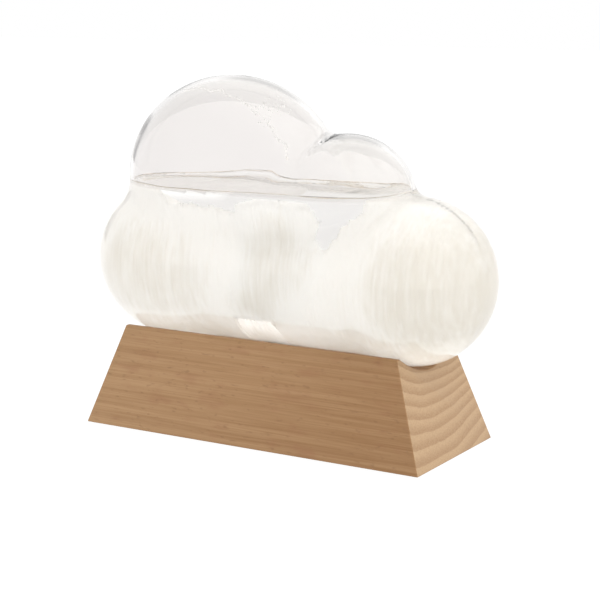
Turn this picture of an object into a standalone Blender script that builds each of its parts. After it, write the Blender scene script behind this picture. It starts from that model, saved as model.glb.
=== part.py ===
"""Storm glass: a cloud of blown clear glass, part filled with liquid and crystals, in a troughed wooden block.

Metres, +Z up, +X along the block towards the small upper lobe, the front faces -Y.
Every piece that touches another keeps a gap of FIT, so each stays its own closed solid.
"""

import bmesh
import bpy
import numpy as np
from mathutils import Matrix, Vector

MM = 0.001
FIT = 0.3 * MM

# Block: a solid piece of beech whose four sides slope in, with a round-bottomed trough along its top.
FOOT_STAND = 0.8 * MM
BLOCK_X = -2.2 * MM
BLOCK_FOOT = (173.6 * MM, 73.2 * MM)
BLOCK_TOP = (141.6 * MM, 52 * MM)
BLOCK_HEIGHT = 46 * MM
BLOCK_EDGE = 0.8 * MM
TROUGH_RADIUS = 37.9 * MM
TROUGH_AXIS_Z = FOOT_STAND + 75.7 * MM

# Foot pads: felt discs in shallow recesses under the block's corners.
PAD_RADIUS = 5 * MM
PAD_SINK = 1.0 * MM
PAD_INSET = (13 * MM, 11 * MM)

# Cloud: rounded lobes blown into one vessel. Each is centre x, centre z, then half sizes along x, y and z.
LOBES = (
    (-57.7 * MM, FOOT_STAND + 76.1 * MM, 41.3 * MM, 36.6 * MM, 36.8 * MM),
    (65.8 * MM, FOOT_STAND + 75.1 * MM, 33.2 * MM, 36.6 * MM, 35.6 * MM),
    (-29.7 * MM, FOOT_STAND + 113.8 * MM, 53.4 * MM, 35.0 * MM, 47.6 * MM),
    (29.4 * MM, FOOT_STAND + 108.7 * MM, 30.4 * MM, 32.0 * MM, 28.8 * MM),
    (6.0 * MM, FOOT_STAND + 104.2 * MM, 34.0 * MM, 33.6 * MM, 25.0 * MM),
)
BODY_RADIUS = 34.6 * MM
BODY_AXIS_Z = FOOT_STAND + 75.6 * MM
BODY_ENDS = (-56 * MM, 59 * MM)
CREASE = 7.4 * MM
CLOUD_MIDDLE = Vector((0.0, 0.0, FOOT_STAND + 84 * MM))
WALL = 2.0 * MM
AROUND, ALONG = 36, 38

# Filling neck: a short tube turned up into the vessel, closed by a plug and a disc of resin.
NECK_X = -2.0 * MM
NECK_RADIUS = 9.5 * MM
NECK_BORE = 7.5 * MM
NECK_TOP = FOOT_STAND + 56 * MM
PLUG_FOOT = FOOT_STAND + 42.6 * MM
SEAL_FOOT = FOOT_STAND + 38.6 * MM

# Contents: the liquid's level, and the outlines of the crystal growths seen from the front, as x, z in millimetres.
LEVEL = FOOT_STAND + 111.5 * MM
BANK_LEFT = (
    (-110, 25), (-16, 25), (-14, 60), (-7, 88), (-9.5, 101), (-16, 103.5), (-28, 105), (-42, 105),
    (-58, 103), (-72, 97), (-81, 89), (-86, 82), (-110, 74),
)
PLUME = (
    (-15.7, 25), (15, 25), (23, 52), (32, 86), (29, 92), (27, 100), (26, 105.5), (18, 108.5), (6, 108),
    (-3, 107), (-8, 104), (-9.2, 101), (-6.7, 88), (-13.7, 60),
)
BANK_RIGHT = (
    (15.3, 25), (110, 25), (110, 109), (55, 109.4), (51, 108), (49.5, 104.5), (44, 102.5), (40, 99),
    (36.5, 94), (32.3, 86), (23.3, 52),
)


def new_collection(name):
    """A collection in the scene."""
    made = bpy.data.collections.new(name)
    bpy.context.scene.collection.children.link(made)
    return made


def finish(name, colour, roughness, transmission=0.0, ior=1.45):
    """A plain Principled material."""
    made = bpy.data.materials.new(name)
    made.use_nodes = True
    shader = made.node_tree.nodes["Principled BSDF"]
    shader.inputs["Base Color"].default_value = (*colour, 1.0)
    shader.inputs["Roughness"].default_value = roughness
    shader.inputs["Metallic"].default_value = 0.0
    shader.inputs["Transmission Weight"].default_value = transmission
    shader.inputs["IOR"].default_value = ior
    return made


def add_object(name, bm, collection, material=None, smooth=False):
    """An object from a bmesh, in the row's frame."""
    mesh = bpy.data.meshes.new(name)
    for face in bm.faces:
        face.smooth = smooth
    bm.to_mesh(mesh)
    bm.free()
    made = bpy.data.objects.new(name, mesh)
    collection.objects.link(made)
    if material:
        mesh.materials.append(material)
    return made


def cut(target, cutter, operation="DIFFERENCE"):
    """An exact Boolean of target with cutter."""
    modifier = target.modifiers.new(cutter.name, "BOOLEAN")
    modifier.operation = operation
    modifier.solver = "EXACT"
    modifier.object = cutter


def cylinder(radius, low, high, x=0.0, y=0.0, segments=48):
    """An upright cylinder as a bmesh."""
    bm = bmesh.new()
    place = Matrix.Translation((x, y, (low + high) / 2))
    bmesh.ops.create_cone(
        bm, cap_ends=True, segments=segments, radius1=radius, radius2=radius, depth=high - low, matrix=place
    )
    return bm


def prism(outline, grow=0.0):
    """An outline in x, z (millimetres, counter-clockwise from the front) drawn out through the whole depth."""
    points = np.array(outline, float) * MM
    points[:, 1] += FOOT_STAND
    ahead = np.roll(points, -1, axis=0) - points
    ahead /= np.linalg.norm(ahead, axis=1)[:, None]
    side = np.stack([ahead[:, 1], -ahead[:, 0]], axis=1)
    corner = side + np.roll(side, 1, axis=0)
    corner /= (corner * side).sum(axis=1)[:, None]
    points = points + corner * grow
    bm = bmesh.new()
    front = [bm.verts.new((x, -60 * MM, z)) for x, z in points]
    face = bm.faces.new(front)
    drawn = bmesh.ops.extrude_face_region(bm, geom=[face])
    moved = [item for item in drawn["geom"] if isinstance(item, bmesh.types.BMVert)]
    bmesh.ops.translate(bm, verts=moved, vec=(0, 120 * MM, 0))
    bmesh.ops.recalc_face_normals(bm, faces=bm.faces)
    return bm


def soft_union(a, b):
    """The nearer of two distances, with a fillet of CREASE where they meet."""
    near = np.maximum(CREASE - np.abs(a - b), 0.0) / CREASE
    return np.minimum(a, b) - near * near * CREASE / 4


def cloud_depth(points):
    """Signed distance of points from the cloud's outside, negative within."""
    along = points[:, 0] - np.clip(points[:, 0], *BODY_ENDS)
    found = np.sqrt(along**2 + points[:, 1] ** 2 + (points[:, 2] - BODY_AXIS_Z) ** 2) - BODY_RADIUS
    for x, z, rx, ry, rz in LOBES:
        size = np.array([rx, ry, rz])
        apart = points - np.array([x, 0.0, z])
        scaled = np.linalg.norm(apart / size, axis=1)
        slope = np.linalg.norm(apart / size**2, axis=1)
        found = soft_union(found, scaled * (scaled - 1.0) / np.maximum(slope, 1e-9))
    return found


def cloud(inset):
    """A closed skin that lies inset within the cloud's outside, as a bmesh."""
    bm = bmesh.new()
    turn = Matrix.Rotation(np.pi / 2, 4, "Y")
    bmesh.ops.create_uvsphere(bm, u_segments=AROUND, v_segments=ALONG, radius=1.0, matrix=turn)
    bmesh.ops.triangulate(bm, faces=bm.faces, quad_method="FIXED")
    aim = np.array([v.co for v in bm.verts]) * np.array([1.6, 1.0, 1.2])
    aim /= np.linalg.norm(aim, axis=1)[:, None]
    low = np.full(len(aim), 5 * MM)
    high = np.full(len(aim), 150 * MM)
    for _ in range(40):
        half = (low + high) / 2
        within = cloud_depth(np.array(CLOUD_MIDDLE) + aim * half[:, None]) < -inset
        low = np.where(within, half, low)
        high = np.where(within, high, half)
    for vert, direction, length in zip(bm.verts, aim, low):
        vert.co = CLOUD_MIDDLE + Vector(direction * length)
    bmesh.ops.recalc_face_normals(bm, faces=bm.faces)
    return bm


def tapered_block():
    """The block's blank: a box whose top is drawn in on all four sides."""
    bm = bmesh.new()
    bmesh.ops.create_cube(bm, size=1.0)
    for vert in bm.verts:
        size = BLOCK_TOP if vert.co.z > 0 else BLOCK_FOOT
        vert.co.x = BLOCK_X + vert.co.x * size[0]
        vert.co.y = vert.co.y * size[1]
        vert.co.z = FOOT_STAND + (BLOCK_HEIGHT if vert.co.z > 0 else 0.0)
    bmesh.ops.bevel(
        bm, geom=list(bm.edges), offset=BLOCK_EDGE, segments=2, profile=0.5, affect="EDGES"
    )
    return bm


def build_base(parts, cutters):
    """The wooden block with its trough and recesses, and the four felt pads."""
    beech = finish("beech", (0.42, 0.25, 0.13), 0.6)
    felt = finish("felt", (0.10, 0.08, 0.07), 0.95)
    block = add_object("wooden_base", tapered_block(), parts, beech)

    bm = bmesh.new()
    lay = Matrix.Translation((BLOCK_X, 0, TROUGH_AXIS_Z)) @ Matrix.Rotation(np.pi / 2, 4, "Y")
    bmesh.ops.create_cone(
        bm, cap_ends=True, segments=96, radius1=TROUGH_RADIUS, radius2=TROUGH_RADIUS, depth=0.24, matrix=lay
    )
    cut(block, add_object("trough", bm, cutters, smooth=True))

    corners = (("front_left", -1, -1), ("front_right", 1, -1), ("back_left", -1, 1), ("back_right", 1, 1))
    for name, side_x, side_y in corners:
        x = BLOCK_X + side_x * (BLOCK_FOOT[0] / 2 - PAD_INSET[0])
        y = side_y * (BLOCK_FOOT[1] / 2 - PAD_INSET[1])
        recess = cylinder(PAD_RADIUS + FIT, -2 * MM, FOOT_STAND + PAD_SINK, x, y, 32)
        cut(block, add_object("recess_" + name, recess, cutters, smooth=True))
        pad = cylinder(PAD_RADIUS, 0.0, FOOT_STAND + PAD_SINK - FIT, x, y, 32)
        add_object("foot_pad_" + name, pad, parts, felt)


def build_vessel(parts, cutters):
    """The glass cloud with its turned-up neck, the plug and the resin disc that closes it."""
    glass = finish("clear_glass", (0.96, 0.97, 0.97), 0.02, 1.0, 1.47)
    silicone = finish("silicone", (0.80, 0.80, 0.78), 0.5)
    resin = finish("resin", (0.85, 0.85, 0.82), 0.25)

    hollow = add_object("hollow", cloud(WALL), cutters, smooth=True)
    tube = cylinder(NECK_RADIUS, 20 * MM, NECK_TOP, NECK_X)
    cut(hollow, add_object("neck_outside", tube, cutters, smooth=True))
    bore = cylinder(NECK_BORE, 18 * MM, NECK_TOP + 4 * MM, NECK_X)
    vessel = add_object("cloud_glass", cloud(0.0), parts, glass, smooth=True)
    cut(vessel, hollow)
    cut(vessel, add_object("neck_bore", bore, cutters, smooth=True))

    plug = cylinder(NECK_BORE - FIT, PLUG_FOOT, NECK_TOP, NECK_X)
    add_object("neck_plug", plug, parts, silicone)
    seal = cylinder(NECK_BORE - FIT, SEAL_FOOT, PLUG_FOOT - FIT, NECK_X)
    add_object("neck_seal", seal, parts, resin)


def build_contents(parts, cutters):
    """The liquid, cut back around the crystals, and the three crystal growths that lie against the wall."""
    liquid_look = finish("storm_liquid", (0.93, 0.93, 0.91), 0.02, 1.0, 1.36)
    camphor = finish("camphor", (0.90, 0.88, 0.84), 0.7)

    neck_room = cylinder(NECK_RADIUS + FIT, 16 * MM, NECK_TOP + FIT, NECK_X)
    neck_room = add_object("neck_room", neck_room, cutters, smooth=True)
    liquid = add_object("storm_liquid", cloud(WALL + FIT), parts, liquid_look, smooth=True)
    above = cylinder(160 * MM, LEVEL, 260 * MM)
    cut(liquid, add_object("above_level", above, cutters))
    cut(liquid, neck_room)

    growths = (("crystal_bank_left", BANK_LEFT), ("crystal_plume", PLUME), ("crystal_bank_right", BANK_RIGHT))
    for name, outline in growths:
        growth = add_object(name, cloud(WALL + FIT), parts, camphor, smooth=True)
        cut(growth, add_object(name + "_outline", prism(outline), cutters), "INTERSECT")
        cut(growth, neck_room)
        cut(liquid, add_object(name + "_room", prism(outline, FIT), cutters))


def main():
    """Builds every piece."""
    for item in list(bpy.data.objects):
        bpy.data.objects.remove(item)
    parts = new_collection("storm_glass")
    cutters = new_collection("cutters")
    build_base(parts, cutters)
    build_vessel(parts, cutters)
    build_contents(parts, cutters)
    for item in cutters.objects:
        item.hide_render = True
        item.display_type = "WIRE"


main()
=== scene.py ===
"""Looks of the storm glass: a blown glass cloud with liquid and crystals, on a troughed beech block.

Every size is in metres, +Z is up, +X runs along the block and the front faces -Y.
"""

from __future__ import annotations

import logging
import math
from collections.abc import Callable
from dataclasses import dataclass, field
from enum import Enum

import bmesh
import bpy
import numpy as np
from mathutils import Matrix, Vector, noise

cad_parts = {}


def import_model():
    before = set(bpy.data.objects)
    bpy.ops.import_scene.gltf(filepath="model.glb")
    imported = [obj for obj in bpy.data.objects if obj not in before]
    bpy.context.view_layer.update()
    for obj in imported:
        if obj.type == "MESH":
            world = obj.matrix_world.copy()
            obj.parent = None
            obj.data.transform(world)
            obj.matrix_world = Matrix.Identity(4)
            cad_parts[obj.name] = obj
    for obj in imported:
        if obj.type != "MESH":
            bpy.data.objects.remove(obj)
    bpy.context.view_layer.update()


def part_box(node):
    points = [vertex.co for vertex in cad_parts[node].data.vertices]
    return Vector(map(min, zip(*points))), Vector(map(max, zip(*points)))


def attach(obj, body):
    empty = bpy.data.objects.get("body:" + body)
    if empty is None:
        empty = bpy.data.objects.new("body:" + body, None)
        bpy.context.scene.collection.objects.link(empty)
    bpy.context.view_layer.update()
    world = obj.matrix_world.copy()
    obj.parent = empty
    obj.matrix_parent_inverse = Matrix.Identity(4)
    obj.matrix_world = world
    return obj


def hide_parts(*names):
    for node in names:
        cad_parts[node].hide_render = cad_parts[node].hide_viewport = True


MM = 0.001
LOG = logging.getLogger("storm_glass")
Colour = tuple[float, float, float]
Triple = tuple[float, float, float]
Pair = tuple[float, float]
Socket = bpy.types.NodeSocket
Material = bpy.types.Material
Piece = bpy.types.Object
MIST_MIDDLE: Pair = (-36.0 * MM, 112.0 * MM)
MIST_REACH: Pair = (50.0 * MM, 43.5 * MM)


class Body(Enum):
    """The two bodies that pieces ride on."""

    BASE = "base"
    GLASS = "glass"


class Slot(Enum):
    """The record's material slots."""

    BEECH = "beech"
    FELT = "felt"
    GLASS = "clear_glass"
    LIQUID = "storm_liquid"
    CAMPHOR = "camphor"
    SILICONE = "silicone"
    RESIN = "resin"


class Recipe:
    """Lays out the nodes of one material."""

    def __init__(self, name: str) -> None:
        """Starts an empty material.

        Args:
            name: the material's name.
        """
        self.material = bpy.data.materials.new(name)
        self.material.use_nodes = True
        self.tree = self.material.node_tree
        self.tree.nodes.clear()
        self.output = self.node("ShaderNodeOutputMaterial")
        self.place = self.node("ShaderNodeTexCoord").outputs["Object"]

    def node(self, kind: str, inputs: dict | None = None, **settings: object) -> bpy.types.Node:
        """Adds a node.

        Args:
            kind: the node's type name.
            inputs: socket name or index to a value, or to a socket to link from.
            settings: the node's own properties.

        Returns:
            The new node.
        """
        made = self.tree.nodes.new(kind)
        for key, value in settings.items():
            setattr(made, key, value)
        for key, value in (inputs or {}).items():
            if isinstance(value, Socket):
                self.tree.links.new(value, made.inputs[key])
            elif isinstance(value, tuple) and len(value) == 3 and made.inputs[key].type == "RGBA":
                made.inputs[key].default_value = (*value, 1.0)
            else:
                made.inputs[key].default_value = value
        return made

    def stretched(self, scale: Triple) -> Socket:
        """The object's own coordinates, scaled along x, y and z."""
        return self.node("ShaderNodeMapping", {"Vector": self.place, "Scale": scale}).outputs[0]

    def noise(self, vector: Socket, scale: float, detail: float = 2.0, rough: float = 0.5) -> Socket:
        """A noise value between 0 and 1."""
        inputs = {"Vector": vector, "Scale": scale, "Detail": detail, "Roughness": rough}
        return self.node("ShaderNodeTexNoise", inputs).outputs["Fac"]

    def maths(self, operation: str, a: object, b: object = 0.0, clamp: bool = False) -> Socket:
        """One piece of arithmetic on two values."""
        return self.node("ShaderNodeMath", {0: a, 1: b}, operation=operation, use_clamp=clamp).outputs[0]

    def plus(self, a: object, b: object, clamp: bool = False) -> Socket:
        """The sum of two values."""
        return self.maths("ADD", a, b, clamp)

    def times(self, a: object, b: object) -> Socket:
        """One value times another."""
        return self.maths("MULTIPLY", a, b)

    def swing(self, value: Socket, middle: float, amount: float) -> Socket:
        """How far a value is from a middle, times an amount."""
        return self.times(self.maths("SUBTRACT", value, middle), amount)

    def spread(self, value: Socket, low: float, high: float, to: Pair = (0.0, 1.0)) -> Socket:
        """Maps low..high smoothly to the pair in to."""
        inputs = {"Value": value, "From Min": low, "From Max": high, "To Min": to[0], "To Max": to[1]}
        return self.node("ShaderNodeMapRange", inputs, interpolation_type="SMOOTHSTEP").outputs["Result"]

    def mix(self, factor: object, a: object, b: object) -> Socket:
        """Mixes two colours.

        Args:
            factor: share of b.
            a: first colour, as numbers or a socket.
            b: second colour, as numbers or a socket.

        Returns:
            A colour socket.
        """
        made = self.node("ShaderNodeMix", {0: factor}, data_type="RGBA")
        for index, value in ((6, a), (7, b)):
            if isinstance(value, Socket):
                self.tree.links.new(value, made.inputs[index])
            else:
                made.inputs[index].default_value = (*value, 1.0)
        return made.outputs[2]

    def bump(self, height: Socket, strength: float, distance: float) -> Socket:
        """A bumped normal."""
        inputs = {"Height": height, "Strength": strength, "Distance": distance}
        return self.node("ShaderNodeBump", inputs).outputs[0]

    def surface(self, shader: Socket) -> Material:
        """Joins a shader to the output and hands over the material."""
        self.tree.links.new(shader, self.output.inputs["Surface"])
        return self.material


@dataclass(frozen=True)
class BeechFinish:
    """Oiled beech, its growth rings lying nearly level and its fibres running along the block.

    The fields are the colours of early and late wood, along the fibre and across its cut ends; the
    tree's heart as y and z; the heart's lean with height; and how fast the rings widen outwards.
    """

    side_light: Colour = (0.360, 0.216, 0.108)
    side_dark: Colour = (0.222, 0.113, 0.045)
    end_light: Colour = (0.430, 0.292, 0.170)
    end_dark: Colour = (0.290, 0.173, 0.090)
    stain: Colour = (0.235, 0.100, 0.050)
    fleck: Colour = (0.150, 0.072, 0.032)
    heart: Pair = (-0.022, 0.150)
    lean: float = 0.85
    first_ring: float = 0.105
    ring_count: float = 14.0
    widening: float = 23.7

    def rings(self, pen: Recipe) -> Socket:
        """How far through its ring each point lies.

        Args:
            pen: the material's nodes.

        Returns:
            From early wood, 0, to late wood, 1.
        """
        x, y, z = pen.node("ShaderNodeSeparateXYZ", {0: pen.place}).outputs
        heart_y = pen.plus(self.heart[0], pen.times(z, self.lean))
        away_y = pen.maths("POWER", pen.maths("SUBTRACT", y, heart_y), 2.0)
        away_z = pen.maths("POWER", pen.maths("SUBTRACT", z, self.heart[1]), 2.0)
        reach = pen.maths("SQRT", pen.plus(away_y, away_z))
        sway = pen.noise(pen.stretched((2.5, 32.0, 32.0)), 1.0, 2.0)
        quiver = pen.noise(pen.stretched((6.0, 260.0, 260.0)), 1.0, 2.0)
        reach = pen.plus(reach, pen.times(sway, 0.0035))
        reach = pen.plus(reach, pen.times(quiver, 0.0006))
        grown = pen.times(pen.maths("SUBTRACT", reach, self.first_ring), self.widening)
        number = pen.maths("LOGARITHM", pen.plus(grown, 1.0), math.e)
        return pen.maths("FRACT", pen.times(number, self.ring_count))

    def build(self) -> Material:
        """Mixes the beech from its rings, fibres, rays and stains, with a painted shade that darkens its
        sides towards +X.

        Returns:
            The material.
        """
        pen = Recipe("beech")
        part = self.rings(pen)
        late = pen.times(pen.spread(part, 0.1, 0.9), pen.spread(part, 1.0, 0.93))
        fibre = pen.noise(pen.stretched((26.0, 1300.0, 1300.0)), 1.0, 4.0, 0.62)
        streak = pen.noise(pen.stretched((9.0, 420.0, 420.0)), 1.0, 3.0, 0.6)
        pores = pen.noise(pen.stretched((240.0, 1700.0, 1700.0)), 1.0, 1.0)
        rays = pen.spread(pen.noise(pen.stretched((260.0, 620.0, 800.0)), 1.0, 1.0), 0.6, 0.8)
        stains = pen.spread(pen.noise(pen.stretched((70.0, 150.0, 150.0)), 1.0, 2.0), 0.52, 0.78)
        drift = pen.noise(pen.stretched((9.0, 16.0, 26.0)), 1.0, 1.0)
        x = pen.node("ShaderNodeSeparateXYZ", {0: pen.place}).outputs[0]
        # Painted shade: the sides darken steadily towards +X, the shade of a light from the left; the cut
        # ends are not darkened.
        along = pen.times(x, 2.8)
        tone = pen.times(late, 0.16)
        tone = pen.plus(tone, pen.times(pen.spread(fibre, 0.3, 0.7), 0.34))
        tone = pen.plus(tone, pen.times(pen.spread(streak, 0.3, 0.7), 0.22))
        tone = pen.plus(tone, pen.swing(drift, 0.5, 0.5))
        tone = pen.plus(tone, pen.plus(along, 0.13), clamp=True)
        side = pen.mix(tone, self.side_light, self.side_dark)
        side = pen.mix(pen.times(stains, 0.34), side, self.stain)
        side = pen.mix(pen.times(rays, 0.34), side, self.fleck)
        pored = pen.times(pen.spread(pores, 0.35, 0.7), 0.36)
        cut = pen.plus(pen.times(late, 0.56), pored)
        end = pen.mix(cut, self.end_light, self.end_dark)
        normal = pen.node("ShaderNodeTexCoord").outputs["Normal"]
        facing = pen.node("ShaderNodeSeparateXYZ", {0: normal}).outputs[0]
        sawn = pen.spread(pen.maths("ABSOLUTE", facing), 0.55, 0.9)
        height = pen.maths("SUBTRACT", fibre, pen.times(rays, 0.8))
        shader = pen.node(
            "ShaderNodeBsdfPrincipled",
            {
                "Base Color": pen.mix(sawn, side, end),
                "Roughness": pen.spread(fibre, 0.2, 0.8, (0.52, 0.7)),
                "Normal": pen.bump(height, 0.3, 0.00018),
                "Specular IOR Level": 0.3,
            },
        )
        return pen.surface(shader.outputs[0])


@dataclass(frozen=True)
class ClearGlass:
    """Soda glass, a trace of grey in its thickness."""

    name: str = "clear_glass"
    tint: Colour = (0.885, 0.868, 0.86)
    ior: float = 1.47
    roughness: float = 0.0
    ripple: float = 0.25

    def colour(self, pen: Recipe) -> object:
        """The tint everywhere."""
        return self.tint

    def build(self) -> Material:
        """Mixes the glass, or a liquid as clear.

        Returns:
            The material.
        """
        pen = Recipe(self.name)
        wave = pen.noise(pen.stretched((28.0, 28.0, 40.0)), 1.0, 1.0)
        shader = pen.node(
            "ShaderNodeBsdfPrincipled",
            {
                "Base Color": self.colour(pen),
                "Roughness": self.roughness,
                "IOR": self.ior,
                "Transmission Weight": 1.0,
                "Normal": pen.bump(wave, self.ripple, 0.001),
            },
        )
        return pen.surface(shader.outputs[0])


@dataclass(frozen=True)
class VesselGlass(ClearGlass):
    """The vessel's glass.

    It is clean under the liquid, but for a film at the back near the surface, and misted in the dome.
    film_edges says, along each axis, where the film has gone and where it is whole.
    """

    name: str = "vessel_glass"
    wet: Colour = (0.985, 0.982, 0.975)
    clean: Colour = (0.90, 0.885, 0.87)
    filmed: Colour = (0.79, 0.775, 0.768)
    level: float = 112.5 * MM
    film_edges: tuple[tuple[str, float, float], ...] = (
        ("Z", 68 * MM, 80 * MM),
        ("Z", 107 * MM, 103 * MM),
        ("Y", 4 * MM, 24 * MM),
        ("X", -88 * MM, -66 * MM),
        ("X", 42 * MM, 16 * MM),
    )

    def mist(self, pen: Recipe, parts: object) -> Socket:
        """How far each point lies from the mist's middle, 1 at its ragged edge.

        Args:
            pen: the material's nodes.
            parts: the sockets of x, y and z.

        Returns:
            The distance.
        """
        across = pen.maths("DIVIDE", pen.maths("SUBTRACT", parts["X"], MIST_MIDDLE[0]), MIST_REACH[0])
        up = pen.maths("DIVIDE", pen.maths("SUBTRACT", parts["Z"], MIST_MIDDLE[1]), MIST_REACH[1])
        reach = pen.plus(pen.times(across, across), pen.times(up, up))
        ragged = pen.noise(pen.stretched((420.0, 420.0, 420.0)), 1.0, 4.0, 0.7)
        return pen.plus(reach, pen.swing(ragged, 0.5, 0.16))

    def colour(self, pen: Recipe) -> Socket:
        """The tint by height, and by the edges of the mist and the film.

        Args:
            pen: the material's nodes.

        Returns:
            The tint.
        """
        parts = pen.node("ShaderNodeSeparateXYZ", {0: pen.place}).outputs
        dry = pen.mix(pen.spread(self.mist(pen, parts), 0.97, 1.0), self.tint, self.clean)
        film: object = 1.0
        for axis, clear, full in self.film_edges:
            film = pen.times(film, pen.spread(parts[axis], clear, full))
        wet = pen.mix(film, self.wet, self.filmed)
        return pen.mix(pen.spread(parts["Z"], self.level - 1 * MM, self.level), wet, dry)


@dataclass(frozen=True)
class CamphorFinish:
    """Camphor crystals: white fibres, with a painted warm shade away from their edges.

    The fields are the white of the growth and the beige of its painted warm shade, the share of light let
    through, and the strength of a painted glow on the growth near the bottom, on the curtain before the neck
    and on the frost beads.
    """

    edge: Colour = (1.0, 0.998, 0.993)
    painted_shade_colour: Colour = (0.85, 0.825, 0.775)
    clear: float = 0.42
    painted_glow_strength: float = 0.42

    def build(self) -> Material:
        """Mixes the crystals, with each point's painted warm shade and painted glow read from the mesh.

        Returns:
            The material.
        """
        pen = Recipe("camphor")
        # thick is the share of painted warm shade read from the mesh: beige for shade and for warm light
        # thrown up from the wood.
        thick = pen.node("ShaderNodeAttribute", attribute_name="painted_warm_shade").outputs["Fac"]
        painted_glow = pen.node("ShaderNodeAttribute", attribute_name="painted_glow").outputs["Fac"]
        fibre = pen.noise(pen.stretched((700.0, 260.0, 40.0)), 1.0, 3.0, 0.6)
        broad = pen.noise(pen.stretched((60.0, 60.0, 26.0)), 1.0, 2.0)
        puff = pen.noise(pen.stretched((170.0, 170.0, 75.0)), 1.0, 3.0, 0.6)
        share = pen.plus(thick, pen.swing(fibre, 0.5, 1.3))
        share = pen.plus(share, pen.swing(puff, 0.65, 0.9))
        share = pen.plus(share, pen.swing(broad, 0.5, 0.7), clamp=True)
        colour = pen.mix(share, self.edge, self.painted_shade_colour)
        bumped = pen.bump(pen.plus(fibre, puff), 0.6, 0.0012)
        # Emission is a painted glow, set by the mesh's glow mark, on the growth near the bottom, on the
        # curtain before the neck and on the frost beads.
        solid = pen.node(
            "ShaderNodeBsdfPrincipled",
            {
                "Base Color": colour,
                "Roughness": 0.75,
                "Specular IOR Level": 0.1,
                "Normal": bumped,
                "Emission Color": colour,
                "Emission Strength": pen.times(painted_glow, self.painted_glow_strength),
            },
        ).outputs[0]
        through = pen.node("ShaderNodeBsdfTranslucent", {"Color": colour, "Normal": bumped}).outputs[0]
        return pen.surface(pen.node("ShaderNodeMixShader", {0: self.clear, 1: solid, 2: through}).outputs[0])


@dataclass(frozen=True)
class PlainFinish:
    """A moulded or felted stuff with a fine grain."""

    name: str
    colour: Colour
    roughness: float
    grain: float
    depth: float

    def build(self) -> Material:
        """Mixes the stuff from its colour and its grain.

        Returns:
            The material.
        """
        pen = Recipe(self.name)
        grain = pen.noise(pen.place, self.grain, 4.0, 0.65)
        darker = tuple(part * 0.72 for part in self.colour)
        shader = pen.node(
            "ShaderNodeBsdfPrincipled",
            {
                "Base Color": pen.mix(grain, darker, self.colour),
                "Roughness": self.roughness,
                "Normal": pen.bump(grain, 0.5, self.depth),
            },
        )
        return pen.surface(shader.outputs[0])


def shade_smooth(mesh: bpy.types.Mesh, sharp_over: float = 40.0) -> None:
    """Smooth faces, with edges over an angle kept sharp.

    Args:
        mesh: the mesh to shade.
        sharp_over: that angle, in degrees.
    """
    mesh.polygons.foreach_set("use_smooth", [True] * len(mesh.polygons))
    mesh.set_sharp_from_angle(angle=math.radians(sharp_over))


def add_piece(name: str, bm: bmesh.types.BMesh, material: Material, sharp_over: float = 40.0) -> Piece:
    """Makes an object from a bmesh and uses the bmesh up.

    Args:
        name: the piece's name.
        bm: its mesh, in the shared frame.
        material: its finish.
        sharp_over: edges sharper than this many degrees stay sharp.

    Returns:
        The new object.
    """
    mesh = bpy.data.meshes.new(name)
    bm.to_mesh(mesh)
    bm.free()
    shade_smooth(mesh, sharp_over)
    mesh.materials.append(material)
    made = bpy.data.objects.new(name, mesh)
    bpy.context.scene.collection.objects.link(made)
    return made


def settle(piece: Piece, sharp_over: float = 40.0) -> Piece:
    """Turns a piece's modifiers into its mesh.

    Args:
        piece: the piece.
        sharp_over: edges sharper than this many degrees stay sharp.

    Returns:
        The same piece.
    """
    bpy.context.view_layer.update()
    graph = bpy.context.evaluated_depsgraph_get()
    made = bpy.data.meshes.new_from_object(piece.evaluated_get(graph))
    piece.modifiers.clear()
    old, piece.data = piece.data, made
    made.name = old.name
    bpy.data.meshes.remove(old)
    shade_smooth(made, sharp_over)
    return piece


def carve(piece: Piece, cutters: list[Piece]) -> Piece:
    """Cuts pieces out of a piece and removes the cutters.

    Args:
        piece: what is cut.
        cutters: what is cut away.

    Returns:
        The piece.
    """
    for cutter in cutters:
        modifier = piece.modifiers.new("cut", "BOOLEAN")
        modifier.operation, modifier.solver, modifier.object = "DIFFERENCE", "EXACT", cutter
    settle(piece)
    for cutter in cutters:
        bpy.data.objects.remove(cutter)
    return piece


def turned(outline: list[Pair], centre: Pair, steps: int = 64) -> bmesh.types.BMesh:
    """A closed turned form about an upright axis.

    Args:
        outline: radius and height from the bottom of the axis to its top, both ends on the axis.
        centre: x and y of the axis.
        steps: facets around.

    Returns:
        The form.
    """
    bm = bmesh.new()
    line = [bm.verts.new((centre[0] + r, centre[1], z)) for r, z in outline]
    edges = [bm.edges.new(pair) for pair in zip(line, line[1:])]
    way = {"cent": (*centre, 0.0), "axis": (0, 0, 1), "angle": math.tau}
    bmesh.ops.spin(bm, geom=line + edges, steps=steps, use_merge=True, **way)
    bmesh.ops.remove_doubles(bm, verts=bm.verts, dist=1e-6)
    bmesh.ops.recalc_face_normals(bm, faces=bm.faces)
    return bm


@dataclass(frozen=True)
class Lobe:
    """One rounded swelling of the cloud: its middle and its half sizes."""

    x: float
    z: float
    rx: float
    ry: float
    rz: float

    def distance(self, points: np.ndarray) -> np.ndarray:
        """Roughly how far points lie outside the lobe.

        Args:
            points: the points.

        Returns:
            The distances, negative inside.
        """
        size = np.array([self.rx, self.ry, self.rz])
        apart = points - np.array([self.x, 0.0, self.z])
        scaled = np.linalg.norm(apart / size, axis=-1)
        slope = np.linalg.norm(apart / size**2, axis=-1)
        return scaled * (scaled - 1.0) / np.maximum(slope, 1e-9)


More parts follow.
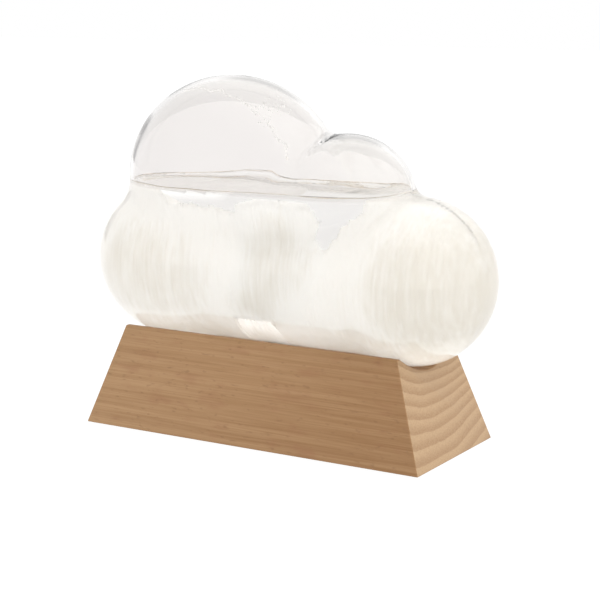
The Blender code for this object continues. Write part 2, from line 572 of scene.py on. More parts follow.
@dataclass
class CloudForm:
    """The outside of the blown cloud, as lobes and a bar melted together."""

    low: float
    left: Lobe = field(init=False)
    right: Lobe = field(init=False)
    dome: Lobe = field(init=False)
    small: Lobe = field(init=False)
    waist: Lobe = field(init=False)
    bar_radius: float = 34.6 * MM
    bar_ends: Pair = (-56.0 * MM, 59.0 * MM)
    crease: float = 7.4 * MM
    wall: float = 2.0 * MM

    def __post_init__(self) -> None:
        """Sets the lobes above the vessel's lowest point."""
        self.left = Lobe(-57.7 * MM, self.low + 37.9 * MM, 41.3 * MM, 36.6 * MM, 36.8 * MM)
        self.right = Lobe(65.8 * MM, self.low + 36.9 * MM, 33.2 * MM, 36.6 * MM, 35.6 * MM)
        self.dome = Lobe(-29.7 * MM, self.low + 75.6 * MM, 53.4 * MM, 35.0 * MM, 47.6 * MM)
        self.small = Lobe(29.4 * MM, self.low + 70.5 * MM, 30.4 * MM, 32.0 * MM, 28.8 * MM)
        self.waist = Lobe(6.0 * MM, self.low + 66.0 * MM, 34.0 * MM, 33.6 * MM, 25.0 * MM)
        self.bar_z = self.low + 37.4 * MM
        self.middle = np.array([0.0, 0.0, self.low + 45.8 * MM])

    def depth(self, points: np.ndarray) -> np.ndarray:
        """How far points lie outside the cloud.

        Args:
            points: the points.

        Returns:
            The distances, negative inside.
        """
        along = points[..., 0] - np.clip(points[..., 0], *self.bar_ends)
        apart = np.sqrt(along**2 + points[..., 1] ** 2 + (points[..., 2] - self.bar_z) ** 2)
        found = apart - self.bar_radius
        for lobe in (self.left, self.right, self.dome, self.small, self.waist):
            other = lobe.distance(points)
            near = np.maximum(self.crease - np.abs(found - other), 0.0) / self.crease
            found = np.minimum(found, other) - near * near * self.crease / 4
        return found

    def solve(
        self, place: Callable[[np.ndarray], np.ndarray], count: int, inset: float, reach: float
    ) -> np.ndarray:
        """Finds where straight lines leave the cloud.

        Args:
            place: gives the points at a distance along every line.
            count: how many lines there are.
            inset: how far inside the cloud's outside the surface lies.
            reach: the longest distance.

        Returns:
            The distance along each line.
        """
        low, high = np.zeros(count), np.full(count, reach)
        for _ in range(22):
            half = (low + high) / 2
            within = self.depth(place(half)) < -inset
            low, high = np.where(within, half, low), np.where(within, high, half)
        return low

    def skin(self, inset: float, fineness: int) -> bmesh.types.BMesh:
        """A closed skin inside the cloud's outside.

        Args:
            inset: how far inside.
            fineness: subdivisions of the starting sphere.

        Returns:
            The skin.
        """
        bm = bmesh.new()
        bmesh.ops.create_icosphere(bm, subdivisions=fineness, radius=1.0)
        aim = np.array([v.co for v in bm.verts]) * np.array([1.6, 1.0, 1.2])
        aim /= np.linalg.norm(aim, axis=1)[:, None]
        far = self.solve(lambda t: self.middle + aim * t[:, None], len(aim), inset, 0.15)
        for vert, direction, length in zip(bm.verts, aim, far):
            vert.co = Vector(self.middle + direction * length)
        return bm

    def half_depth(self, x: np.ndarray, z: np.ndarray, inset: float) -> np.ndarray:
        """Half the vessel's thickness from front to back.

        Args:
            x: places along the vessel.
            z: their heights.
            inset: how far inside the cloud's outside it is measured.

        Returns:
            The half thickness at every place.
        """
        flat = np.stack([x, np.zeros_like(x), z], axis=-1)
        along = np.array([0.0, 1.0, 0.0])
        return self.solve(lambda t: flat + along * t[:, None], len(x), inset, 0.05)


@dataclass
class WoodenBase:
    """The beech block with its trough, and the felt pads under it."""

    top: Pair = (141.6 * MM, 52.0 * MM)
    trough_radius: float = 37.9 * MM
    trough_depth: float = 8.2 * MM
    edge: float = 0.9 * MM

    def block(self, finish: Material) -> Piece:
        """The block, its edges eased.

        Args:
            finish: its material.

        Returns:
            The block.
        """
        low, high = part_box("wooden_base")
        middle = (low + high) / 2
        foot = (high.x - low.x, high.y - low.y)
        bm = bmesh.new()
        bmesh.ops.create_cube(bm, size=1.0)
        for vert in bm.verts:
            upper = vert.co.z > 0
            size = self.top if upper else foot
            height = high.z if upper else low.z
            vert.co = Vector((middle.x + vert.co.x * size[0], vert.co.y * size[1], height))
        block = add_piece("beech_block", bm, finish)
        bm = bmesh.new()
        axis_z = high.z - self.trough_depth + self.trough_radius
        lay = Matrix.Translation((middle.x, 0.0, axis_z)) @ Matrix.Rotation(math.pi / 2, 4, "Y")
        radii = {"radius1": self.trough_radius, "radius2": self.trough_radius}
        bmesh.ops.create_cone(bm, cap_ends=True, segments=192, depth=0.3, matrix=lay, **radii)
        carve(block, [add_piece("trough", bm, finish)])
        ease = block.modifiers.new("ease", "BEVEL")
        ease.width, ease.segments, ease.limit_method = self.edge, 3, "ANGLE"
        ease.angle_limit = math.radians(30)
        settle(block, 30.0)
        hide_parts("wooden_base")
        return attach(block, Body.BASE.value)

    def pads(self, finish: Material) -> list[Piece]:
        """The four felt discs, soft at their edges.

        Args:
            finish: their material.

        Returns:
            The pads.
        """
        made = []
        for corner in ("front_left", "front_right", "back_left", "back_right"):
            node = "foot_pad_" + corner
            low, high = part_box(node)
            radius = (high.x - low.x) / 2
            centre = ((low.x + high.x) / 2, (low.y + high.y) / 2)
            soft = 0.35 * MM
            outline = [
                (0.0, low.z), (radius - soft, low.z), (radius - soft * 0.3, low.z + soft * 0.3),
                (radius, low.z + soft), (radius, high.z), (0.0, high.z),
            ]
            pad = add_piece("felt_pad_" + corner, turned(outline, centre, 40), finish)
            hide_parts(node)
            made.append(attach(pad, Body.BASE.value))
        return made


@dataclass
class Vessel:
    """The blown cloud, its filling neck and what closes the neck."""

    form: CloudForm
    neck_radius: float = 9.5 * MM
    fineness: int = 6

    def glass(self, finish: Material) -> Piece:
        """The vessel, hollow, with the neck turned up into it.

        Args:
            finish: its material.

        Returns:
            The vessel.
        """
        low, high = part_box("neck_plug")
        x = (low.x + high.x) / 2
        bore = (high.x - low.x) / 2 + 0.3 * MM
        outside = add_piece("blown_cloud", self.form.skin(0.0, self.fineness), finish)
        hollow = add_piece("hollow", self.form.skin(self.form.wall, self.fineness), finish)
        tube = [(0.0, 0.02), (self.neck_radius, 0.02), (self.neck_radius, high.z), (0.0, high.z)]
        carve(hollow, [add_piece("neck", turned(tube, (x, 0.0)), finish)])
        way = [(0.0, 0.018), (bore, 0.018), (bore, high.z + 4 * MM), (0.0, high.z + 4 * MM)]
        carve(outside, [hollow, add_piece("way", turned(way, (x, 0.0)), finish)])
        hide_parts("cloud_glass")
        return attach(outside, Body.GLASS.value)

    def plug(self, finish: Material) -> Piece:
        """The ribbed plug in the neck.

        Args:
            finish: its material.

        Returns:
            The plug.
        """
        low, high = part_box("neck_plug")
        radius = (high.x - low.x) / 2
        centre = ((low.x + high.x) / 2, 0.0)
        ribs = 4
        step = (high.z - low.z - 2 * MM) / ribs
        outline = [(0.0, low.z), (radius - 0.5 * MM, low.z)]
        for rib in range(ribs):
            z = low.z + 1 * MM + rib * step
            outline += [
                (radius - 0.9 * MM, z), (radius, z + step * 0.35),
                (radius, z + step * 0.6), (radius - 0.9 * MM, z + step * 0.95),
            ]
        outline += [(radius - 1.2 * MM, high.z - 0.4 * MM), (radius - 2.0 * MM, high.z), (0.0, high.z)]
        plug = add_piece("ribbed_plug", turned(outline, centre), finish)
        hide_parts("neck_plug")
        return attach(plug, Body.GLASS.value)

    def seal(self, finish: Material) -> Piece:
        """The disc of resin under the plug, domed where it set.

        Args:
            finish: its material.

        Returns:
            The seal.
        """
        low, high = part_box("neck_seal")
        radius = (high.x - low.x) / 2
        centre = ((low.x + high.x) / 2, 0.0)
        steps = 6
        outline = []
        for step in range(steps + 1):
            angle = math.pi / 2 * step / steps
            outline.append((radius * math.sin(angle), low.z + 1.6 * MM * (1 - math.cos(angle))))
        outline += [(radius, high.z), (0.0, high.z)]
        seal = add_piece("resin_seal", turned(outline, centre), finish)
        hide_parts("neck_seal")
        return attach(seal, Body.GLASS.value)


@dataclass
class Liquid:
    """The liquid, its edge drawn up where it meets the glass."""

    form: CloudForm
    rise: float = 1.5 * MM
    fall_off: float = 1.6 * MM
    bite: float = 0.5 * MM
    fineness: int = 6
    centre_x: float = -8.0 * MM

    def surface_height(self, points: np.ndarray, level: float) -> np.ndarray:
        """Height of the liquid's surface at points.

        Args:
            points: places in x and y, their z ignored.
            level: the flat level.

        Returns:
            The heights.
        """
        flat = points.copy()
        flat[:, 2] = level
        away = np.maximum(-self.form.depth(flat) - self.form.wall, 0.0)
        sway = np.array([noise.noise(Vector((p[0] * 38, 3.0 if p[1] > 0 else 9.0, 0.0))) for p in points])
        return level + self.rise * (1 + 0.7 * sway) * np.exp(-away / self.fall_off)

    def build(self, finish: Material) -> Piece:
        """The body of liquid.

        Args:
            finish: its material.

        Returns:
            The liquid.
        """
        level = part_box("storm_liquid")[1].z
        bm = self.form.skin(self.form.wall - self.bite, self.fineness)
        geometry = list(bm.verts) + list(bm.edges) + list(bm.faces)
        contact = (0, 0, level + self.rise * 0.6)
        bmesh.ops.bisect_plane(
            bm, geom=geometry, dist=1e-6, plane_co=contact, plane_no=(0, 0, 1), clear_outer=True
        )
        rim_edges = [edge for edge in bm.edges if edge.is_boundary]
        rim = self.in_order(rim_edges)
        middle = np.mean([v.co for v in rim], axis=0)
        middle[0] = self.centre_x
        steps = [0.5, 0.9, 1.4, 2.0, 2.8, 3.8, 5.2, 7.5]
        rings = [rim]
        start = np.array([v.co for v in rim])
        inward = middle - start
        length = np.linalg.norm(inward[:, :2], axis=1)
        for step in steps:
            share = np.minimum(step * MM / length, 0.9)
            rings.append(self.ring(bm, start + inward * share[:, None], level))
        begun = np.array([v.co for v in rings[-1]])
        for share in (0.2, 0.4, 0.6, 0.8):
            rings.append(self.ring(bm, begun + (middle - begun) * share, level))
        for outer, inner in zip(rings, rings[1:]):
            for index in range(len(outer)):
                following = (index + 1) % len(outer)
                bm.faces.new((outer[index], outer[following], inner[following], inner[index]))
        hub = bm.verts.new((middle[0], middle[1], level))
        last = rings[-1]
        for index in range(len(last)):
            bm.faces.new((last[index], last[(index + 1) % len(last)], hub))
        bmesh.ops.recalc_face_normals(bm, faces=bm.faces)
        liquid = add_piece("liquid", bm, finish, 60.0)
        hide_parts("storm_liquid")
        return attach(liquid, Body.GLASS.value)

    def meniscus_shade_line(self, finish: Material, steps: int = 420) -> Piece:
        """A thin tan line on the glass where the liquid's edge meets it, a painted shade for the dark line
        that the meniscus edge shows.

        Args:
            finish: its material.
            steps: corners round the vessel.

        Returns:
            The line.
        """
        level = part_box("storm_liquid")[1].z + self.rise * 0.75
        turn = np.linspace(0.0, 2 * math.pi, steps, endpoint=False)
        aim = np.stack([np.cos(turn), np.sin(turn), np.zeros(steps)], axis=1)
        wave = [noise.noise(Vector((2.6 * math.cos(a), 2.6 * math.sin(a), 4.0))) for a in turn]
        sway = np.array(wave) * np.where(aim[:, 1] > 0, 1.5, 0.2) * MM
        middle = np.stack([np.full(steps, self.centre_x), np.zeros(steps), level + sway], axis=1)
        swell = [noise.noise(Vector((math.cos(a) * 9, math.sin(a) * 9, 1.0))) for a in turn]
        thick = (0.14 + 0.05 * np.array(swell)) * MM
        far = self.form.solve(lambda t: middle + aim * t[:, None], steps, self.form.wall + 0.2 * MM, 0.12)
        bm = bmesh.new()
        loops = []
        for corner in range(6):
            angle = corner * math.pi / 3
            spot = middle + aim * (far + thick * math.cos(angle))[:, None]
            spot[:, 2] += thick * 1.2 * math.sin(angle)
            loops.append([bm.verts.new(p) for p in spot])
        for one, other in zip(loops, loops[1:] + loops[:1]):
            for index in range(steps):
                after = (index + 1) % steps
                bm.faces.new((one[index], one[after], other[after], other[index]))
        bmesh.ops.recalc_face_normals(bm, faces=bm.faces)
        line = add_piece("meniscus_shade_line", bm, finish, 80.0)
        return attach(line, Body.GLASS.value)

    def ring(self, bm: bmesh.types.BMesh, points: np.ndarray, level: float) -> list[bmesh.types.BMVert]:
        """A ring of points laid on the liquid's surface."""
        points[:, 2] = self.surface_height(points, level)
        return [bm.verts.new(p) for p in points]

    @staticmethod
    def in_order(edges: list[bmesh.types.BMEdge]) -> list[bmesh.types.BMVert]:
        """Sorts the points of a closed loop of edges.

        Args:
            edges: the edges in any order.

        Returns:
            The points, one after the other.
        """
        links: dict[bmesh.types.BMVert, list[bmesh.types.BMVert]] = {}
        for edge in edges:
            a, b = edge.verts
            links.setdefault(a, []).append(b)
            links.setdefault(b, []).append(a)
        start = edges[0].verts[0]
        found, before, here = [start], None, start
        while True:
            onward = [v for v in links[here] if v is not before]
            before, here = here, onward[0]
            if here is start:
                return found
            found.append(here)


@dataclass(frozen=True)
class Growth:
    """One mass of crystals.

    Its outline from the front is in millimetres: x, and height above the vessel's lowest point.
    slope is the depth it gains for each step in from its edge, round_off the width of its curled edge,
    and a curtain stands before the neck.
    """

    name: str
    node: str
    outline: tuple[Pair, ...]
    seed: int
    set_back: float = 0.0
    slope: float = 5.0
    ragged: float = 1.1 * MM
    round_off: float = 4.5 * MM
    curtain: bool = False


@dataclass(frozen=True)
class PaintedShadePatch:
    """A soft patch of painted warm shade on the growth: its middle, its reach along x and z, and how warm
    the shade is.
    """

    x: float
    z: float
    wide: float
    high: float
    painted_warm_shade: float


@dataclass(frozen=True)
class FrostTrail:
    """Where the frost beads lie, seen from the front.

    They follow an arc in degrees round the mist's middle, and a patch: its x, its height, its spread. The
    patch sits where the dome shows its bright highlight, so its glowing beads are partly a painted
    highlight.
    """

    arc: Pair = (20.0, 106.0)
    patch: Triple = (0.0, 150.0 * MM, 3.2 * MM)
    bead: Pair = (0.14 * MM, 0.38 * MM)
    count: int = 260


@dataclass
class Crystals:
    """The crystals in the liquid, and the frost above it.

    Masses are worked out at places step_x and step_z apart, out to reach, and step_fine apart past the
    two distances in fine_from, from the middle and from the bottom. rounding is how far back a front
    edge curls, fringe how far in from the edge the painted warm shade sets in, and least the thinnest
    growth. neck_room is the neck's radius, the room over it, and the spacing and depth of the curtain's
    ribs. The curtain before the neck gets an even painted glow, and the patches are soft patches of
    painted warm shade: the beige of shade and of warm light thrown up from the wood.
    """

    form: CloudForm
    level: float
    neck_x: float
    neck_top: float
    clearance: float = 0.35 * MM
    frost_trail: FrostTrail = field(default_factory=FrostTrail)
    step_x: float = 0.7 * MM
    step_z: float = 0.9 * MM
    step_fine: float = 0.15 * MM
    fine_from: Pair = (89.0 * MM, 5.0 * MM)
    reach: float = 97.5 * MM
    thin: float = 8.0 * MM
    rounding: float = 0.4
    fringe: float = 7.5 * MM
    least: float = 0.05 * MM
    curtain_painted_glow: float = 0.72
    neck_room: tuple[float, float, float, float] = (10.0 * MM, 1.2 * MM, 2.3 * MM, 0.4 * MM)
    # Soft patches of painted warm shade, laid on the growth where it shows beige.
    painted_shade_patches: tuple[PaintedShadePatch, ...] = (
        PaintedShadePatch(9.0, 46.0, 14.0, 24.0, 0.66),
        PaintedShadePatch(2.0, 24.0, 14.0, 10.0, 0.6),
        PaintedShadePatch(86.0, 36.0, 29.0, 34.0, 1.05),
        PaintedShadePatch(58.0, 8.0, 34.0, 16.0, 0.6),
        PaintedShadePatch(-40.0, 4.0, 60.0, 14.0, 0.7),
        PaintedShadePatch(-54.0, 36.0, 30.0, 22.0, 0.75),
        PaintedShadePatch(-92.0, 52.0, 12.0, 16.0, 0.6),
        PaintedShadePatch(88.0, 62.0, 16.0, 10.0, 0.6),
    )

    def growths(self) -> list[Growth]:
        """Lays out the masses.

        Returns:
            The three masses, and the curtain before the neck.
        """
        left = Growth(
            "crystals_left", "crystal_bank_left",
            ((-112, -6), (-1, -6), (-1, 20), (2, 34), (3, 46), (-1, 57), (-6, 62.5), (-11, 65.3),
             (-16, 66.5), (-28, 67.5), (-40, 66.6), (-45, 67), (-49, 72), (-52, 80), (-112, 80)),
            11, 0.12 * MM,
        )
        plume = Growth(
            "crystals_plume", "crystal_plume",
            ((-12, 17), (8, 17), (20, 19), (30, 34), (37, 44), (35.5, 50), (32, 52.5), (28.5, 57), (31, 63),
             (29, 68), (25, 71.5), (18, 71), (12, 72), (2, 71.5), (-4, 70.5), (-9, 68), (-11, 62), (-10, 50),
             (-14, 24)), 23, 0.0, 1.35, 0.7 * MM,
        )
        right = Growth(
            "crystals_right", "crystal_bank_right",
            ((-3, -6), (112, -6), (112, 80), (51, 80), (49.3, 71), (48.6, 66), (44, 64.6), (40.5, 61),
             (38.5, 56), (34, 50), (25, 43), (12, 30), (-3, 20)), 37, 0.22 * MM,
        )
        aside, over = 9.7, (self.neck_top - self.form.low) / MM + 0.9
        x = self.neck_x / MM
        curtain = Growth(
            "crystals_neck", "",
            ((x - aside, -6), (x + aside, -6), (x + aside, over - 3), (x + 7, over), (x - 7, over),
             (x - aside, over - 3)),
            41, 0.3 * MM, ragged=0.1 * MM, round_off=1.0 * MM, curtain=True,
        )
        return [left, plume, right, curtain]

    def painted_warm_shade(self, x: np.ndarray, z: np.ndarray, free: np.ndarray) -> np.ndarray:
        """How much painted warm shade the growth gets at points, from 0, white, to 1.

        Args:
            x: places along the vessel.
            z: heights above the vessel's lowest point.
            free: distances to the growth's edge.

        Returns:
            The painted warm shade at every point.
        """
        found = np.zeros(x.shape)
        for patch in self.painted_shade_patches:
            reach = ((x / MM - patch.x) / patch.wide) ** 2 + ((z / MM - patch.z) / patch.high) ** 2
            found = np.maximum(found, patch.painted_warm_shade * np.exp(-(reach**2.2)))
        edge = np.clip(free / self.fringe, 0.0, 1.0)
        return found * edge * edge * (3.0 - 2.0 * edge)

    def places(self, line: np.ndarray) -> list[np.ndarray]:
        """The places a mass is worked out at, closer together where the vessel curves in.

        Args:
            line: the mass's outline.

        Returns:
            Their x, and their heights above the vessel's lowest point.
        """
        side, bottom = self.fine_from
        xs = np.concatenate([
            np.arange(-self.reach, -side, self.step_fine),
            np.arange(-side, side, self.step_x),
            np.arange(side, self.reach, self.step_fine),
        ])
        zs = np.concatenate([
            np.arange(0.0, bottom, 2 * self.step_fine),
            np.arange(bottom, self.level - self.form.low + 2 * MM, self.step_z),
        ])
        xs = xs[(xs > line[:, 0].min()) & (xs < line[:, 0].max())]
        return np.meshgrid(xs, zs[zs < line[:, 1].max()], indexing="ij")

    def skins(self, x: np.ndarray, z: np.ndarray, free: np.ndarray, growth: Growth) -> list[np.ndarray]:
        """The front and the back of a mass.

        Args:
            x: places along the vessel.
            z: heights above the vessel's lowest point.
            free: distances to the mass's edge.
            growth: the mass.

        Returns:
            How far back its front and its back lie at every place.
        """
        inset = self.form.wall + self.clearance
        half = self.form.half_depth(x.ravel(), z.ravel() + self.form.low, inset).reshape(x.shape)
        held = []
        for side in (-1.0, 1.0):
            gap = self.held_back(x, z, side, growth) * np.minimum(half / self.thin, 1.0)
            held.append(np.maximum(half - gap, 0.0))
        curl = 1.0 - np.clip(free / growth.round_off, 0.0, 1.0)
        curl = np.sqrt(1.0 - curl**2)
        front = (1.0 - curl) * growth.round_off * self.rounding - held[0]
        back = np.minimum(held[1], front + growth.slope * np.maximum(free, 0.0))
        return self.round_neck(x, z, [front, back], growth)

    def closed(
        self, x: np.ndarray, z: np.ndarray, skins: list[np.ndarray], marks: dict[str, np.ndarray]
    ) -> bmesh.types.BMesh:
        """The closed form between a mass's front and back.

        Args:
            x: places along the vessel.
            z: heights above the vessel's lowest point.
            skins: how far back the front and the back lie.
            marks: values kept at every point, by name.

        Returns:
            The form.
        """
        solid = (skins[1] - skins[0]) > self.least
        skins[0] = np.where(solid, skins[0], 0.5 * (skins[0] + skins[1]))
        bm = bmesh.new()
        layers = {name: bm.verts.layers.float.new(name) for name in marks}
        verts: list[dict[tuple[int, int], bmesh.types.BMVert]] = [{}, {}]
        wanted = solid[:-1, :-1] | solid[1:, :-1] | solid[:-1, 1:] | solid[1:, 1:]
        for i, j in zip(*np.nonzero(wanted)):
            corners = ((i, j), (i + 1, j), (i + 1, j + 1), (i, j + 1))
            for side in (0, 1):
                for corner in corners:
                    if corner in verts[side]:
                        continue
                    if side == 1 and not solid[corner]:
                        verts[1][corner] = verts[0][corner]
                        continue
                    place = (x[corner], skins[side][corner], z[corner] + self.form.low)
                    vert = verts[side][corner] = bm.verts.new(place)
                    for name, layer in layers.items():
                        vert[layer] = marks[name][corner]
                loop = [verts[side][corner] for corner in corners]
                bm.faces.new(loop if side == 0 else loop[::-1])
        return bm

    def build(self, growth: Growth, finish: Material) -> Piece:
        """One mass of crystals as a closed form.

        Args:
            growth: its outline and how it lies.
            finish: its material.

        Returns:
            The mass.
        """
        line = np.array(growth.outline) * MM
        x, z = self.places(line)
        free = self.inside_distance(x, z, line) - self.rough_edge(x, z, growth)
        free = np.minimum(free, self.level - 0.5 * MM - self.form.low - z)
        # Painted glow: the growth glows fully up to 7 mm above the vessel's lowest point and not at all from
        # 19 mm, lighting it where the trough's shade falls.
        painted_glow = np.clip(1.0 - (z - 7 * MM) / (12 * MM), 0.0, 1.0)
        # The curtain before the neck glows evenly, a painted light over the shade round the neck.
        if growth.curtain:
            painted_glow = np.full(x.shape, self.curtain_painted_glow)
        marks = {"painted_warm_shade": self.painted_warm_shade(x, z, free), "painted_glow": painted_glow}
        form = self.closed(x, z, self.skins(x, z, free, growth), marks)
        mass = add_piece(growth.name, form, finish, 80.0)
        if growth.node:
            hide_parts(growth.node)
        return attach(mass, Body.GLASS.value)

    def round_neck(
        self, x: np.ndarray, z: np.ndarray, skins: list[np.ndarray], growth: Growth
    ) -> list[np.ndarray]:
        """Leaves the neck free: a mass stays behind it, and the curtain in front of it.

        Args:
            x: places along the vessel.
            z: heights above the vessel's lowest point.
            skins: the front and the back of a mass.
            growth: the mass.

        Returns:
            The front and the back, clear of the neck.
        """
        radius, over, rib, depth = self.neck_room
        aside = np.abs(x - self.neck_x)
        clear = np.sqrt(np.maximum(radius**2 - aside**2, 0.0)) + 0.4 * MM
        if growth.curtain:
            ribs = depth * (1 + np.cos(2 * math.pi * (x - self.neck_x) / rib))
            return [skins[0] + ribs, np.minimum(skins[1], -clear)]
        beside = (aside < radius) & (z < self.neck_top - self.form.low + over)
        return [np.where(beside, clear, skins[0]), skins[1]]

    @staticmethod
    def rough_edge(x: np.ndarray, z: np.ndarray, growth: Growth) -> np.ndarray:
        """How far the ragged edge stands inside the outline.

        Args:
            x: places along the vessel.
            z: heights above the vessel's lowest point.
            growth: the mass.

        Returns:
            The distance at every place.
        """
        found = []
        for a, b in zip(x.ravel(), z.ravel()):
            fine = noise.noise(Vector((a * 620, b * 120, growth.seed)))
            found.append(0.8 * fine + noise.noise(Vector((a * 150, b * 110, growth.seed + 5.0))))
        return growth.ragged * np.array(found).reshape(x.shape)

    @staticmethod
    def held_back(x: np.ndarray, z: np.ndarray, side: float, growth: Growth) -> np.ndarray:
        """How far the mass stands back from the glass.

        Args:
            x: places along the vessel.
            z: heights above the vessel's lowest point.
            side: -1 at the front, 1 at the back.
            growth: the mass.

        Returns:
            The distance at every place.
        """
        found = []
        for a, b in zip(x.ravel(), z.ravel()):
            broad = noise.noise(Vector((a * 50, b * 38, side)))
            fibre = noise.noise(Vector((a * 480, b * 45, side + growth.seed)))
            found.append(0.9 * max(0.0, broad + 0.1) + 0.2 * max(0.0, fibre + 0.5))
        return np.array(found).reshape(x.shape) * MM + growth.set_back

    @staticmethod
    def inside_distance(x: np.ndarray, z: np.ndarray, line: np.ndarray) -> np.ndarray:
        """How far inside a closed outline places lie.

        Args:
            x: places along the vessel.
            z: heights above the vessel's lowest point.
            line: the outline.

        Returns:
            The distances, negative outside it.
        """
        found = np.full(x.shape, 1.0)
        within = np.zeros(x.shape, dtype=bool)
        for (ax, az), (bx, bz) in zip(line, np.roll(line, -1, axis=0)):
            run = np.array([bx - ax, bz - az])
            share = np.clip(((x - ax) * run[0] + (z - az) * run[1]) / (run @ run), 0.0, 1.0)
            found = np.minimum(found, np.hypot(x - ax - share * run[0], z - az - share * run[1]))
            if az != bz:
                crosses = (az > z) != (bz > z)
                within ^= crosses & (x < ax + (z - az) * run[0] / run[1])
        return np.where(within, found, -found)

    def frost(self, finish: Material) -> Piece:
        """Small beads of frost on the inside of the dome, along the edge of its mist, with a painted glow
        that keeps them white.

        Args:
            finish: their material.

        Returns:
            The beads as one piece.
        """
        draw = np.random.default_rng(61)
        trail = self.frost_trail
        turn = np.radians(draw.uniform(*trail.arc, trail.count))
        ragged = np.array([noise.noise(Vector((a * 9, 2.0, 0.0))) for a in turn]) * 0.03
        out = 1.0 + ragged + draw.normal(0, 0.005, trail.count)
        x = MIST_MIDDLE[0] + MIST_REACH[0] * out * np.cos(turn)
        z = MIST_MIDDLE[1] + MIST_REACH[1] * out * np.sin(turn)
        x = np.concatenate([x, draw.normal(trail.patch[0], trail.patch[2], trail.count // 2)])
        z = np.concatenate([z, draw.normal(trail.patch[1], trail.patch[2], trail.count // 2)])
        size = draw.uniform(*trail.bead, len(x))
        room = self.form.half_depth(x, z, self.form.wall + 0.1 * MM)
        bm = bmesh.new()
        for a, b, r, y in zip(x, z, size, room):
            if y > 4 * MM:
                place = Matrix.Translation((a, -y + r * 0.3, b))
                bmesh.ops.create_icosphere(bm, subdivisions=1, radius=r, matrix=place)
        # Painted glow: every bead glows a little, so the beads read white rather than shaded grey.
        painted_glow_layer = bm.verts.layers.float.new("painted_glow")
        for vert in bm.verts:
            vert[painted_glow_layer] = 0.3
        beads = add_piece("frost_beads", bm, finish)
        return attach(beads, Body.GLASS.value)


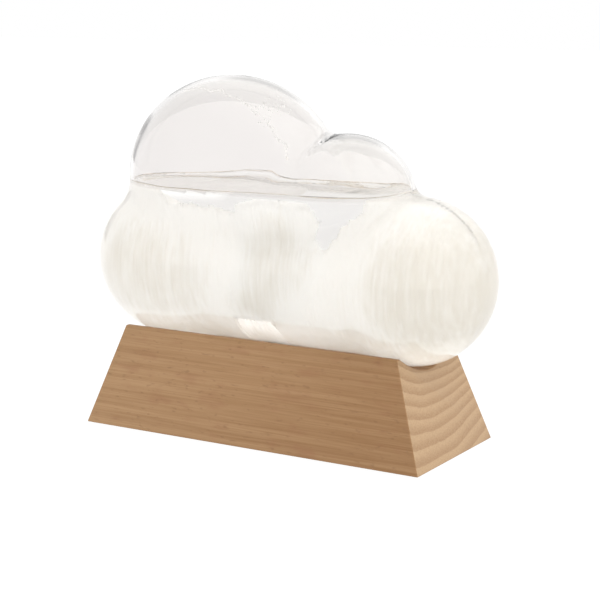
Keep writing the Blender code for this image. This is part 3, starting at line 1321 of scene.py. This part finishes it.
@dataclass
class Studio:
    """Floor, light and camera.

    A flag is a direction, how near to it the dark patch starts and is whole, and the light left there.
    """

    aim: Triple = (-2.2 * MM, 0.0, 82.0 * MM)
    azimuth: float = 31.5
    elevation: float = 9.3
    distance: float = 757.2 * MM
    lens: float = 100.68
    shift: Pair = (0.024, -0.0752)
    flags: tuple = (
        ((-0.89, 0.44, 0.06), 0.98, 0.997, 0.55),
        ((-0.35, 0.80, 0.50), 0.955, 0.99, 0.65),
    )

    def floor(self) -> Piece:
        """A plain white table top that glows a little, as a light table does.

        Returns:
            The table top.
        """
        pen = Recipe("table")
        shader = pen.node(
            "ShaderNodeBsdfPrincipled",
            {
                "Base Color": (0.05, 0.05, 0.05),
                "Roughness": 0.9,
                "Emission Color": (1.0, 1.0, 1.0),
                "Emission Strength": 0.97,
            },
        )
        bm = bmesh.new()
        under = Matrix.Translation((0, 0, -0.2 * MM))
        bmesh.ops.create_grid(bm, x_segments=1, y_segments=1, size=4.0, matrix=under)
        table = add_piece("table", bm, pen.surface(shader.outputs[0]))
        return table

    def world(self) -> None:
        """A white room with a wide soft box above and two darker flags behind."""
        world = bpy.data.worlds.new("studio")
        world.use_nodes = True
        bpy.context.scene.world = world
        tree = world.node_tree
        back = tree.nodes["Background"]
        way = tree.nodes.new("ShaderNodeTexCoord").outputs["Generated"]

        def joined(operation: str, a: object, b: object) -> Socket:
            """One piece of arithmetic on two values.

            Args:
                operation: which.
                a: first value, a number or a socket.
                b: second value, a number or a socket.

            Returns:
                The result.
            """
            made = tree.nodes.new("ShaderNodeMath")
            made.operation = operation
            for index, value in enumerate((a, b)):
                if isinstance(value, Socket):
                    tree.links.new(value, made.inputs[index])
                else:
                    made.inputs[index].default_value = value
            return made.outputs[0]

        def toward(aim: Triple, low: float, high: float, to: Pair) -> Socket:
            """A value that goes smoothly from one to another towards a direction.

            Args:
                aim: the direction.
                low: how near to it the change starts, 1 being there.
                high: how near to it the change is whole.
                to: the two values.

            Returns:
                The value.
            """
            dot = tree.nodes.new("ShaderNodeVectorMath")
            dot.operation = "DOT_PRODUCT"
            tree.links.new(way, dot.inputs[0])
            dot.inputs[1].default_value = Vector(aim).normalized()
            ramp = tree.nodes.new("ShaderNodeMapRange")
            ramp.interpolation_type = "SMOOTHSTEP"
            for name, value in zip(("From Min", "From Max", "To Min", "To Max"), (low, high, *to)):
                ramp.inputs[name].default_value = value
            tree.links.new(dot.outputs["Value"], ramp.inputs["Value"])
            return ramp.outputs["Result"]

        glow = toward((0.2, -0.95, 0.35), 0.1, 0.9, (1.0, 1.3))
        glow = joined("ADD", glow, toward((0.2, 0.35, 0.9), 0.3, 0.98, (0.0, 0.5)))
        glow = joined("ADD", glow, toward((0.95, -0.1, 0.3), 0.3, 0.9, (0.0, 0.3)))
        for aim, low, high, to in self.flags:
            glow = joined("MULTIPLY", glow, toward(aim, low, high, (1.0, to)))
        tree.links.new(glow, back.inputs["Strength"])
        back.inputs["Color"].default_value = (1.0, 1.0, 1.0, 1.0)

    def light(self, name: str, place: Triple, power: float, size: Pair) -> None:
        """A soft box that faces the object.

        Args:
            name: its name.
            place: where it hangs.
            power: its power in watts.
            size: its width and height.
        """
        lamp = bpy.data.lights.new(name, "AREA")
        lamp.shape, lamp.energy = "RECTANGLE", power
        lamp.size, lamp.size_y = size
        made = bpy.data.objects.new(name, lamp)
        made.location = place
        made.rotation_euler = (Vector(self.aim) - Vector(place)).to_track_quat("-Z", "Y").to_euler()
        made.visible_glossy = made.visible_transmission = False
        bpy.context.scene.collection.objects.link(made)

    def camera(self) -> None:
        """The camera, a little above the block and round to its right."""
        lens = bpy.data.cameras.new("camera")
        lens.lens, lens.sensor_width = self.lens, 36.0
        lens.shift_x, lens.shift_y = self.shift
        lens.clip_start, lens.clip_end = 0.01, 50.0
        made = bpy.data.objects.new("camera", lens)
        around, up = math.radians(self.azimuth), math.radians(self.elevation)
        away = Vector((math.sin(around) * math.cos(up), -math.cos(around) * math.cos(up), math.sin(up)))
        made.location = Vector(self.aim) + away * self.distance
        made.rotation_euler = (-away).to_track_quat("-Z", "Y").to_euler()
        bpy.context.scene.collection.objects.link(made)
        bpy.context.scene.camera = made

    def build(self) -> None:
        """Sets the whole studio up."""
        self.floor()
        self.world()
        self.light("key", (0.9, -0.3, 0.9), 3.0, (0.9, 0.9))
        self.camera()
        scene = bpy.context.scene
        scene.view_settings.view_transform = "Standard"
        scene.cycles.max_bounces = 40
        scene.cycles.transmission_bounces = 40
        scene.cycles.diffuse_bounces = 12
        scene.cycles.glossy_bounces = 8
        scene.cycles.transparent_max_bounces = 32
        scene.cycles.blur_glossy = 0.0


def main() -> None:
    """Builds every piece in order."""
    logging.basicConfig(level=logging.INFO, format="%(name)s: %(message)s")
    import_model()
    form = CloudForm(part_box("cloud_glass")[0].z)
    glass = VesselGlass().build()
    pieces = []
    base = WoodenBase()
    pieces.append(base.block(BeechFinish().build()))
    pieces += base.pads(PlainFinish("felt", (0.10, 0.08, 0.07), 0.95, 2500.0, 0.0003).build())
    vessel = Vessel(form)
    pieces.append(vessel.glass(glass))
    pieces.append(vessel.plug(PlainFinish("silicone", (0.80, 0.80, 0.78), 0.5, 900.0, 0.00005).build()))
    pieces.append(vessel.seal(PlainFinish("resin", (0.85, 0.85, 0.82), 0.25, 500.0, 0.0001).build()))
    liquid = ClearGlass("storm_liquid", (0.985, 0.985, 0.98), 1.36, 0.0, 0.05).build()
    body = Liquid(form)
    pieces.append(body.build(liquid))
    # The line at the liquid's edge is painted shade for the meniscus's dark edge.
    pieces.append(body.meniscus_shade_line(PlainFinish("meniscus_shade", (0.86, 0.77, 0.66), 0.6, 1500.0, 0.0001).build()))
    plug_low, plug_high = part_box("neck_plug")
    crystals = Crystals(form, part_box("storm_liquid")[1].z, (plug_low.x + plug_high.x) / 2, plug_high.z)
    camphor = CamphorFinish().build()
    for growth in crystals.growths():
        pieces.append(crystals.build(growth, camphor))
    pieces.append(crystals.frost(camphor))
    for piece in pieces:
        LOG.info("built %s with %d faces", piece.name, len(piece.data.polygons))
    Studio().build()


if __name__ == "__main__":
    main()
